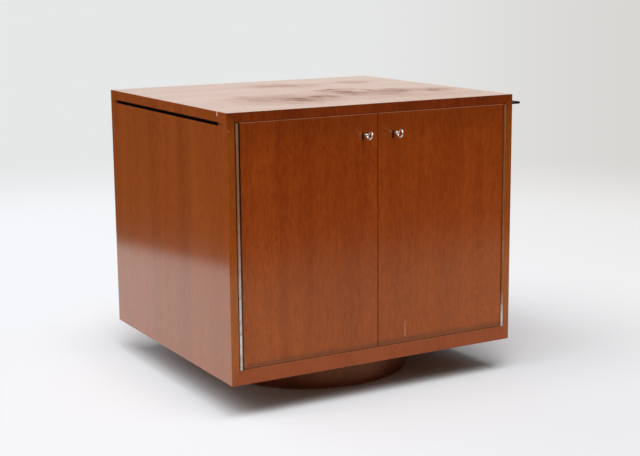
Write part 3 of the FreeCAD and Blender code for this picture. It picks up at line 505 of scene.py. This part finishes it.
finish, tree, shader, where, rail = finish_veneer(
    "case_top_veneer", "z", RAIL_TONES, TOP_POLISH, sheen=WARM_SHEEN)
bleached, _ = veneer_colour(tree, where, "x", TOP_TONES, shift=(0.0, 4.2, 0.0), fleck=0.2)
worn = stained(tree, where)
bleached = blend_colours(tree, worn, bleached, STAIN_BROWN)
rail = mark(tree, rail, along_edge(tree, parts(tree, where)[2], case_high, *ARRIS_REACH), *ARRIS)
upward = facing(tree, "z")
tree.links.new(blend_colours(tree, upward, rail, bleached), shader.inputs["Base Color"])
rough = sums(tree, "MULTIPLY_ADD", sums(tree, "MULTIPLY", worn, upward), STAIN_ROUGHENS, TOP_ROUGHNESS)
tree.links.new(rough, shader.inputs["Roughness"])
coat = sums(tree, "MULTIPLY_ADD", worn, -TOP_POLISH[1], TOP_POLISH[1])
tree.links.new(coat, shader.inputs["Coat Weight"])
nodes["case_top"].data.materials[0] = finish
print("top veneered and stained")

# %% [markdown]
# The bottom board shows little but its front edge, veneered upright like the doors so that the grain
# seems to run on. Its upper corner, just under the doors, is painted paler as painted light in the shaded
# gap there. The plinth is the same wood bent round a drum, its tones painted darker as painted shade,
# because it always stands in the cabinet's shade.

# %% Veneer for the bottom and the plinth
BOTTOM_TONES = (paint(146, 58, 20), paint(169, 73, 29))
BOTTOM_POLISH = (0.32, 0.0, 0.15)
UNDERSIDE = paint(110, 62, 32)
UNDERSIDE_FACING = (-0.5, -0.8)
# painted light: a pale strip along the bottom board's upper corner, to lighten the shaded gap under the doors
PAINTED_GAP_LIGHT = paint(186, 108, 66)
CORNER = ((0.0, -330 * MM, case_low + 34 * MM), (340 * MM, 8 * MM, 0.8 * MM))
# painted shade: the plinth's tones are darker, for the cabinet's shade over it
SHADED_PLINTH_TONES = (paint(104, 44, 20), paint(136, 62, 30))
PLINTH_POLISH = (0.4, 0.0, 0.15)
PLINTH_SHEEN = (1.0, 0.75, 0.45)

finish, tree, shader, where, colour = finish_veneer(
    "case_bottom_veneer", "z", BOTTOM_TONES, BOTTOM_POLISH, (6, 0, 3), sheen=WARM_SHEEN)
upright = parts(tree, add(tree, "TexCoord").outputs["Normal"])[2]
colour = blend_colours(tree, smooth_range(tree, upright, *UNDERSIDE_FACING), colour, UNDERSIDE)
colour = blend_colours(tree, spot(tree, where, *CORNER), colour, PAINTED_GAP_LIGHT)
tree.links.new(colour, shader.inputs["Base Color"])
nodes["case_bottom"].data.materials[0] = finish
nodes["plinth_wall"].data.materials[0] = finish_veneer(
    "plinth_veneer", "z", SHADED_PLINTH_TONES, PLINTH_POLISH, (2, 8, 1), sheen=PLINTH_SHEEN)[0]
print("bottom and plinth veneered")

# %% [markdown]
# Inside, the wood is plainer: solid or veneered boards under one coat of varnish. Each board gets its own
# grain direction, along its length, and its own part of the noise, so that no two boards repeat.

# %% Plain varnished wood inside
INSIDE_TONES = (paint(140, 84, 48), paint(186, 124, 78))
INSIDE_VARNISH = (0.5, 0.1, 0.3)
INSIDE_RUNS = {
    "plinth_base": "x", "plinth_top": "x", "plinth_blocks": "z", "back_panel": "z", "centre_partition": "z",
    "leaf_bed": "x", "front_leaf_guide": "x", "back_leaf_guide": "x", "bottle_rack": "x",
    "left_rack_cleat": "y", "right_rack_cleat": "y", "tumbler_shelf": "x",
}
for number, (name, run) in enumerate(INSIDE_RUNS.items()):
    shift = (number * 1.7, number * 2.3, number * 0.9)
    nodes[name].data.materials[0] = finish_veneer(
        f"{name}_wood", run, INSIDE_TONES, INSIDE_VARNISH, shift, fleck=0.35)[0]
print(f"{len(INSIDE_RUNS)} inside boards varnished")

# %% [markdown]
# The serving leaf is a thin board faced with black laminate. A plain black would look like a hole, so the
# life comes from a very fine grit in its sheen and from faint rubbing along it, where it slides in and
# out.

# %% Black laminate for the leaf
LAMINATE_BLACK = paint(11, 10, 10)
LAMINATE_RUBBED = paint(30, 28, 27)
LAMINATE_SHEEN = (0.3, 0.3, 0.3)
LAMINATE_ROUGHNESS, GRIT_ROUGHENS = 0.55, 0.2
GRIT_WAVES = (900, 900, 900)
GRIT_RELIEF = {"Strength": 0.1, "Distance": 0.1 * MM}
RUBBING_WAVES, RUBBING_RANGE = (3, 160, 160), (0.5, 0.8)

finish, tree, shader = new_finish("black_laminate", LAMINATE_ROUGHNESS, sheen=LAMINATE_SHEEN)
where = place(tree)
grit = stretched_noise(tree, where, GRIT_WAVES, detail=2)
rubbing = stretched_noise(tree, where, RUBBING_WAVES, detail=4)
rubbing = smooth_range(tree, rubbing, *RUBBING_RANGE)
colour = blend_colours(tree, rubbing, LAMINATE_BLACK, LAMINATE_RUBBED)
tree.links.new(colour, shader.inputs["Base Color"])
rough = sums(tree, "MULTIPLY_ADD", grit, GRIT_ROUGHENS, LAMINATE_ROUGHNESS - GRIT_ROUGHENS / 2)
tree.links.new(rough, shader.inputs["Roughness"])
relief = add(tree, "Bump", Height=grit, **GRIT_RELIEF)
tree.links.new(relief.outputs[0], shader.inputs["Normal"])
for name in ("serving_leaf", "left_leaf_lip", "right_leaf_lip"):
    nodes[name].data.materials[0] = finish
print("leaf faced with laminate")

# %% [markdown]
# Old metal is never one shade. Nickel plate dulls to a warm grey, and steel keeps fine marks from its
# making. One helper makes all the metals from a clean tone, a tarnished tone, and noise that decides
# between them, so that the screws, locks and rings differ only in a few numbers.

# %% Metals
TARNISH_EDGES = (0.42, 0.62)
MARK_WAVES = (400, 400, 400)
CLEAN_SMOOTHS, TARNISH_ROUGHENS, MARKS_ROUGHEN = 0.08, 0.18, 0.1
MARK_RELIEF = {"Strength": 0.08, "Distance": 0.05 * MM}


def metal(name, clean, tarnished, roughness, clouds=60):
    """A metal finish with cloudy tarnish, so many clouds per metre, and fine marks."""
    finish, tree, shader = new_finish(name, roughness, metallic=1.0)
    where = place(tree)
    tarnish = stretched_noise(tree, where, (clouds, clouds, clouds), detail=4)
    tarnish = smooth_range(tree, tarnish, *TARNISH_EDGES)
    marks = stretched_noise(tree, where, MARK_WAVES, detail=2)
    colour = blend_colours(tree, tarnish, clean, tarnished)
    tree.links.new(colour, shader.inputs["Base Color"])
    rough = sums(tree, "MULTIPLY_ADD", tarnish, TARNISH_ROUGHENS, roughness - CLEAN_SMOOTHS)
    rough = sums(tree, "MULTIPLY_ADD", marks, MARKS_ROUGHEN, rough)
    tree.links.new(rough, shader.inputs["Roughness"])
    relief = add(tree, "Bump", Height=marks, **MARK_RELIEF)
    tree.links.new(relief.outputs[0], shader.inputs["Normal"])
    return finish, tree, shader, where, colour


key_nickel = metal("key_nickel", paint(244, 240, 235), paint(216, 208, 198), roughness=0.3, clouds=120)[0]
swivel_steel = metal("swivel_steel", paint(160, 158, 154), paint(112, 106, 98), roughness=0.35)[0]
lock_steel = metal("lock_steel", paint(150, 146, 140), paint(104, 98, 90), roughness=0.42)[0]
screw_steel = metal("screw_steel", paint(176, 172, 164), paint(120, 114, 104), roughness=0.34, clouds=200)[0]
aged_brass = metal("aged_brass", paint(132, 116, 72), paint(66, 56, 34), roughness=0.4, clouds=300)[0]

METAL_PIECES = {
    swivel_steel: ["swivel_lower_race", "swivel_upper_race", "swivel_cage", "swivel_balls", "pivot_pin"],
    lock_steel: [f"{side}_{piece}" for side in ("left", "right")
                 for piece in ("lock_case", "lock_post", "bolt", "strike_plate")],
    screw_steel: [name for name in nodes if name.endswith("screws")] + ["leaf_stop_peg", "shelf_pins"],
    aged_brass: ["left_keyhole_liner", "right_keyhole_liner", "pivot_bush"],
}
for finish, names in METAL_PIECES.items():
    for name in names:
        nodes[name].data.materials[0] = finish
print("metals:", ", ".join(finish.name for finish in METAL_PIECES))

# %% [markdown]
# A piano hinge is rolled from two strips, knuckle after knuckle, so each knuckle catches the light a
# little differently. Giving each its own material would take 26 of them, so the finish counts along the
# hinge instead and gives every knuckle its own shade. The metal turns browner towards the upper end.

# %% Piano hinges
KNUCKLES = 13
HINGE_TONES = (paint(250, 243, 236), paint(216, 206, 196))
HINGE_ROUGHNESS = 0.56
# the hinge metal turns browner towards its upper end
FULLY_BROWNED, KNUCKLE_SHADE = 0.9, 0.10
BROWNED_HIGHER = {
    # side: colour, and the heights above the hinge's foot between which it sets in
    "left": (paint(190, 136, 100), 60 * MM, 380 * MM),
    "right": (paint(180, 117, 66), 10 * MM, 90 * MM),
}
hinge_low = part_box("left_hinge_pin")[0][2]
hinge_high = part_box("left_hinge_pin")[1][2]
knuckle_length = (hinge_high - hinge_low) / KNUCKLES

for side, (brown, starts, ends) in BROWNED_HIGHER.items():
    finish, tree, shader, where, colour = metal(f"{side}_hinge_metal", *HINGE_TONES, HINGE_ROUGHNESS)
    height = parts(tree, where)[2]
    count = sums(tree, "MULTIPLY", sums(tree, "SUBTRACT", height, hinge_low), 1 / knuckle_length)
    knuckle = sums(tree, "FLOOR", count)
    shade = add(tree, "TexWhiteNoise", {"noise_dimensions": "1D"}, W=knuckle).outputs["Value"]
    browned = smooth_range(tree, height, hinge_low + starts, hinge_low + ends, 0.0, FULLY_BROWNED)
    browned = sums(tree, "MULTIPLY_ADD", shade, KNUCKLE_SHADE, browned, clamp=True)
    tree.links.new(blend_colours(tree, browned, colour, brown), shader.inputs["Base Color"])
    for piece in ("hinge_case_leaf", "hinge_door_leaf", "hinge_pin"):
        nodes[f"{side}_{piece}"].data.materials[0] = finish
print(f"hinge knuckles of {knuckle_length / MM:.1f} mm")

# %% [markdown]
# The keys are small turned and pierced pieces, so they are made in three ways. The shank is turned on a
# lathe: a profile is spun round the key's axis, with two beads below the bow and a bored end that fits
# over the lock's post. The bow is a ring of slightly flattened wire, swept round a circle. The bit is a
# filed plate.

# %% Ways to shape a key
def skin(mesh, rings):
    """Joins each ring of points to the next one, and the last to the first."""
    for here, there in zip(rings, rings[1:] + rings[:1]):
        for i in range(len(here)):
            j = (i + 1) % len(here)
            mesh.faces.new((here[i], here[j], there[j], there[i]))


def spun(mesh, profile, steps=40):
    """Adds a closed profile of (distance along y, radius) spun round the y axis."""
    rings = []
    for step in range(steps):
        turn = 2 * pi * step / steps
        points = [(radius * cos(turn), along, radius * sin(turn)) for along, radius in profile]
        rings.append([mesh.verts.new(point) for point in points])
    skin(mesh, rings)


def ring_of_wire(mesh, centre, radius, wide, thick, steps=72, around=18):
    """Adds a ring in the YZ plane, swept from an oval section."""
    rings = []
    for step in range(steps):
        turn = 2 * pi * step / steps
        out = Vector((0, cos(turn), sin(turn)))
        ring = []
        for part in range(around):
            angle = 2 * pi * part / around
            aside = Vector((thick * sin(angle), 0, 0))
            ring.append(mesh.verts.new(Vector((0, centre, 0)) + out * (radius + wide * cos(angle)) + aside))
        rings.append(ring)
    skin(mesh, rings)


def plate(mesh, outline, half_thickness):
    """Adds a flat plate whose outline is given in y and z."""
    near = [mesh.verts.new((-half_thickness, y, z)) for y, z in outline]
    far = [mesh.verts.new((half_thickness, y, z)) for y, z in outline]
    mesh.faces.new(near)
    mesh.faces.new(list(reversed(far)))
    for i in range(len(outline)):
        j = (i + 1) % len(outline)
        mesh.faces.new((near[i], far[i], far[j], near[j]))


print("a key can be spun, swept and filed")

# %% [markdown]
# Both keys have the same shape, so one set of sizes serves for both. They are in millimetres, measured
# from the middle of the cabinet along the key's axis, where the CAD model has its own plain key. The bit
# has two ward cuts.

# %% Sizes of a key
BOW_CENTRE, BOW_RADIUS = -365.3, 8.3
WIRE_WIDE, WIRE_THICK = 1.95, 2.0
SHANK_START, SHANK_END, BORE = -356.5, -305.0, 1.35
SHANK = [
    (SHANK_START, BORE), (SHANK_START, 2.1),
    (-354.9, 2.2), (-354.6, 2.8), (-354.0, 3.1), (-353.3, 3.1), (-352.8, 2.7), (-352.4, 2.45),
    (-351.9, 2.8), (-351.5, 3.25), (-350.0, 3.25), (-349.5, 2.8), (-349.0, 2.5),
    (-305.4, 2.5), (SHANK_END, 2.2), (SHANK_END, BORE),
]
BIT = [
    (-310.9, -2.0), (-310.9, -10.0), (-310.6, -10.2),
    (-309.2, -10.2), (-309.2, -7.2), (-308.2, -7.2), (-308.2, -10.2),
    (-306.9, -10.2), (-306.9, -6.4), (-306.1, -6.4), (-306.1, -10.0),
    (-305.1, -10.0), (-305.1, -2.0),
]
BIT_HALF_THICKNESS = 1.05
KEY_ANGLES = {"left": 23, "right": 15}
SHARP_FROM = radians(38)
FLAT_FACE = 0.999
print(f"a key is {SHANK_END - BOW_CENTRE + BOW_RADIUS + WIRE_WIDE:.1f} mm long")

# %% [markdown]
# Each key is made upright round the y axis, joined from its three parts, and then set in its own lock at
# its own angle. It rides on the body of the plain key and takes that key's place, so it turns with the
# lock. Only its sharp edges stay sharp, which keeps the turned shank and the wire round.

# %% Make the keys
def make_key(side, turned):
    """One key, modelled upright on its own axis and then set in its lock at its angle."""
    mesh = bmesh.new()
    spun(mesh, SHANK)
    ring_of_wire(mesh, BOW_CENTRE, BOW_RADIUS, WIRE_WIDE, WIRE_THICK)
    plate(mesh, BIT, BIT_HALF_THICKNESS)
    bmesh.ops.recalc_face_normals(mesh, faces=mesh.faces)
    data = bpy.data.meshes.new(f"{side}_turned_key")
    mesh.to_mesh(data)
    mesh.free()
    key = bpy.data.objects.new(data.name, data)
    bpy.context.collection.objects.link(key)
    low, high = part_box(f"{side}_lock_post")
    axis = Vector(((low[0] + high[0]) / 2, 0, (low[2] + high[2]) / 2))
    data.transform(Matrix.Translation(axis) @ Matrix.Rotation(radians(turned), 4, "Y") @ Matrix.Scale(MM, 4))
    for face in data.polygons:
        face.use_smooth = len(face.vertices) == 4 and abs(face.normal.x) < FLAT_FACE
    data.set_sharp_from_angle(angle=SHARP_FROM)
    data.materials.append(key_nickel)
    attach(key, f"{side}_lock_key")
    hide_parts(f"{side}_key")
    return key


for side, turned in KEY_ANGLES.items():
    key = make_key(side, turned)
    print(f"{key.name}: {len(key.data.polygons)} faces")

# %% [markdown]
# The room is a studio: a pale paper floor that runs back to a pale wall. A real studio curves the paper
# up, but one wide flat disc does as well if it fades to the wall's own colour far from the cabinet, so
# that no horizon shows. The wall and the paper are painted greyer to the right, as painted shade where
# the studio's light falls off.

# %% Colours of the studio
WALL = paint(230, 231, 231)
# painted shade: the wall is greyer to the right, where the studio's light falls off
WALL_RIGHT_SHADE = paint(216, 214, 211)
WALL_TURNS = (0.5, 0.7)
PAPER = paint(237, 239, 242)
# painted shade: the paper is greyer to the right, with the falloff of the studio's light and the cabinet's
# shade
PAPER_RIGHT_SHADE = paint(226, 225, 223)
PAPER_TURNS = (-0.4, 3.0)
DIM_STUDIO = paint(56, 46, 40)


def wall_colour(tree, sideways):
    """The wall's colour in a direction of length 1, whose x part is given."""
    return blend_colours(tree, smooth_range(tree, sideways, *WALL_TURNS), WALL, WALL_RIGHT_SHADE)


def ray(tree, kind):
    """1 for rays of this kind."""
    return add(tree, "LightPath").outputs[kind]


print("the wall goes from", [round(channel, 2) for channel in WALL[:3]], "to",
      [round(channel, 2) for channel in WALL_RIGHT_SHADE[:3]])

# %% [markdown]
# The floor is one round face, far wider than the camera can see. A square would do as well, but a disc
# fades evenly all round. It lies a hair under the plinth, so that the two faces don't share one place.

# %% Floor
FLOOR_RADIUS = 40.0
FLOOR_DROP = 0.3 * MM

mesh = bmesh.new()
bmesh.ops.create_circle(mesh, cap_ends=True, segments=96, radius=FLOOR_RADIUS)
data = bpy.data.meshes.new("studio_floor")
mesh.to_mesh(data)
mesh.free()
floor = bpy.data.objects.new("studio_floor", data)
bpy.context.collection.objects.link(floor)
floor.location.z = -FLOOR_DROP
print(f"floor laid, {FLOOR_RADIUS * 2:.0f} m across")

# %% [markdown]
# Near the cabinet the floor is matt paper, which takes its shade. Beyond the paper, to the left and in
# front, the studio is dim. Only light bouncing off the cabinet sees that, and the polished wood mirrors
# it: that is what gives the sides and doors their darker upper halves. To the eye the floor stays pale
# all round.

# %% The floor's finish
FADE_FROM, FADE_TO = 2.1, 3.9
FRONT_LEFT = (-1.6, -2.9, 0)
LEFT_SLANT, LEFT_OFFSET = -0.30, 0.46
PAST_LEFT = (-0.82, -1.0)
PAST_FRONT = (-1.55, -1.8)
TOWARDS_BACK = (-1.5, 0.5)

finish = bpy.data.materials.new("studio_floor")
finish.use_nodes = True
tree = finish.node_tree
tree.nodes.clear()
where = place(tree)
sideways, forward, _ = parts(tree, where)
slant = sums(tree, "MULTIPLY_ADD", forward, LEFT_SLANT, sums(tree, "ADD", sideways, LEFT_OFFSET))
past_left = smooth_range(tree, slant, *PAST_LEFT)
past_paper = sums(tree, "MAXIMUM", past_left, smooth_range(tree, forward, *PAST_FRONT))
unseen = sums(tree, "SUBTRACT", 1.0, ray(tree, "Is Camera Ray"))
dim = sums(tree, "MULTIPLY", past_paper, unseen)
paper = blend_colours(tree, smooth_range(tree, sideways, *PAPER_TURNS), PAPER, PAPER_RIGHT_SHADE)
matt = add(tree, "BsdfDiffuse", Color=blend_colours(tree, dim, paper, DIM_STUDIO)).outputs[0]
bearing = vector_sums(tree, "NORMALIZE", vector_sums(tree, "SUBTRACT", where, FRONT_LEFT))
towards_back = smooth_range(tree, forward, *TOWARDS_BACK)
wall = wall_colour(tree, sums(tree, "MULTIPLY", parts(tree, bearing)[0], towards_back))
far = add(tree, "Emission", Color=blend_colours(tree, dim, wall, DIM_STUDIO)).outputs[0]
reach = vector_sums(tree, "LENGTH", where, result="Value")
fade = smooth_range(tree, reach, FADE_FROM, FADE_TO)
add(tree, "OutputMaterial", Surface=add(tree, "MixShader", i0=fade, i1=matt, i2=far).outputs[0])
floor.data.materials.append(finish)
print(f"paper fades to the wall from {FADE_FROM} to {FADE_TO} m out")

# %% [markdown]
# Outside the floor, the camera sees the same pale wall. Other rays see a studio. Glossy ones find a pale
# wall behind the cabinet and a dim room elsewhere, which is what the polish and the metal mirror. Diffuse
# ones find a low window in front, which reaches a little way under the case. Above both is a faint
# ceiling. A plain white world would be simpler, but it would flatten the polish and wash out the shade
# under the case.

# %% World
CEILING = paint(112, 112, 114)
CEILING_FRONT = paint(176, 176, 178)
CEILING_HEIGHT, CEILING_TURNS = (0.45, 0.75), (0.3, -0.3)
WINDOW = (1.7, 1.7, 1.75, 1.0)
WINDOW_ASIDE, WINDOW_AHEAD = -0.45, 0.89
WINDOW_EDGE, WINDOW_SILL = (0.6, 0.9), (0.03, 0.15)
BACK_WALL, LEFT_CORNER = (0.1, 0.5), (-0.3, 0.1)

world = bpy.data.worlds.new("studio")
bpy.context.scene.world = world
world.use_nodes = True
tree = world.node_tree
tree.nodes.clear()
sideways, forward, upward = parts(tree, add(tree, "TexCoord").outputs["Generated"])
wall = wall_colour(tree, sideways)
past_left_corner = smooth_range(tree, sideways, *LEFT_CORNER)
behind = sums(tree, "MULTIPLY", smooth_range(tree, forward, *BACK_WALL), past_left_corner)
mirrored = blend_colours(tree, behind, DIM_STUDIO, wall)
lean = sums(tree, "MULTIPLY_ADD", sideways, WINDOW_ASIDE, sums(tree, "MULTIPLY", forward, WINDOW_AHEAD))
above_sill = smooth_range(tree, upward, *WINDOW_SILL)
window = sums(tree, "MULTIPLY", smooth_range(tree, lean, *WINDOW_EDGE), above_sill)
scattered = blend_colours(tree, window, DIM_STUDIO, WINDOW)
room = blend_colours(tree, ray(tree, "Is Diffuse Ray"), mirrored, scattered)
ceiling = blend_colours(tree, smooth_range(tree, forward, *CEILING_TURNS), CEILING, CEILING_FRONT)
room = blend_colours(tree, smooth_range(tree, upward, *CEILING_HEIGHT), room, ceiling)
seen = blend_colours(tree, ray(tree, "Is Camera Ray"), room, wall)
glow = add(tree, "Background", Color=seen, Strength=1.0).outputs[0]
add(tree, "OutputWorld", Surface=glow)
print("world lit")

# %% [markdown]
# Three broad soft lights do the rest, from the left, from the front left and from nearly overhead. Area
# lamps near the cabinet would light one end of the floor more than the other. Each light here is a sun
# with a very wide disc instead, which acts as a large softbox far away: it lights the whole floor evenly,
# and the shade still has soft edges.

# %% Lamps
SOFTBOXES = {
    # name: azimuth (0 is in front, 90 to the right), elevation, share of the floor's light, width, in degrees
    "left_softbox": (268, 54, 0.23, 36),
    "front_left_softbox": (328, 60, 0.30, 30),
    "overhead_softbox": (8, 74, 0.25, 28),
}
LAMP_DISTANCE = 4


def direction(azimuth, elevation):
    """The direction of length 1 that points this way, both angles in radians."""
    return Vector((sin(azimuth) * cos(elevation), -cos(azimuth) * cos(elevation), sin(elevation)))


def soft_light(name, azimuth, elevation, share, width):
    """A wide sun that gives this share of the floor's light."""
    lamp = bpy.data.lights.new(name, "SUN")
    lamp.angle = radians(width)
    lamp.energy = share * pi / sin(radians(elevation))
    light = bpy.data.objects.new(name, lamp)
    bpy.context.collection.objects.link(light)
    towards = direction(radians(azimuth), radians(elevation))
    light.rotation_euler = towards.to_track_quat("Z", "Y").to_euler()
    light.location = towards * LAMP_DISTANCE
    print(f"{name}: {lamp.energy:.2f}")


for name, settings in SOFTBOXES.items():
    soft_light(name, *settings)

# %% [markdown]
# The camera stands a little above the cabinet's top, to the left of its doors, and far enough away that
# the sides stay almost parallel. It leans by half a degree, so its axes are worked out one by one from
# the way it looks.

# %% Camera
CAMERA_PLACE = (-1.5960, -2.8760, 0.9810)
AZIMUTH, ELEVATION, ROLL = radians(-29.602), radians(11.035), radians(-0.509)
FOCAL_LENGTH, SENSOR_WIDTH = 75.44, 36

back = direction(AZIMUTH, ELEVATION)
right = (-back).cross(Vector((0, 0, 1))).normalized()
up = right.cross(-back)
level_right = right * cos(ROLL) + up * sin(ROLL)
level_up = up * cos(ROLL) - right * sin(ROLL)
turn = Matrix((level_right, level_up, back)).transposed().to_4x4()
lens = bpy.data.cameras.new("camera")
lens.lens = FOCAL_LENGTH
lens.sensor_width = SENSOR_WIDTH
camera = bpy.data.objects.new("camera", lens)
bpy.context.collection.objects.link(camera)
camera.matrix_world = Matrix.Translation(CAMERA_PLACE) @ turn
bpy.context.scene.camera = camera
bpy.context.scene.view_settings.view_transform = "Standard"
print(f"camera {camera.matrix_world.translation.length:.2f} m from the middle of the plinth")
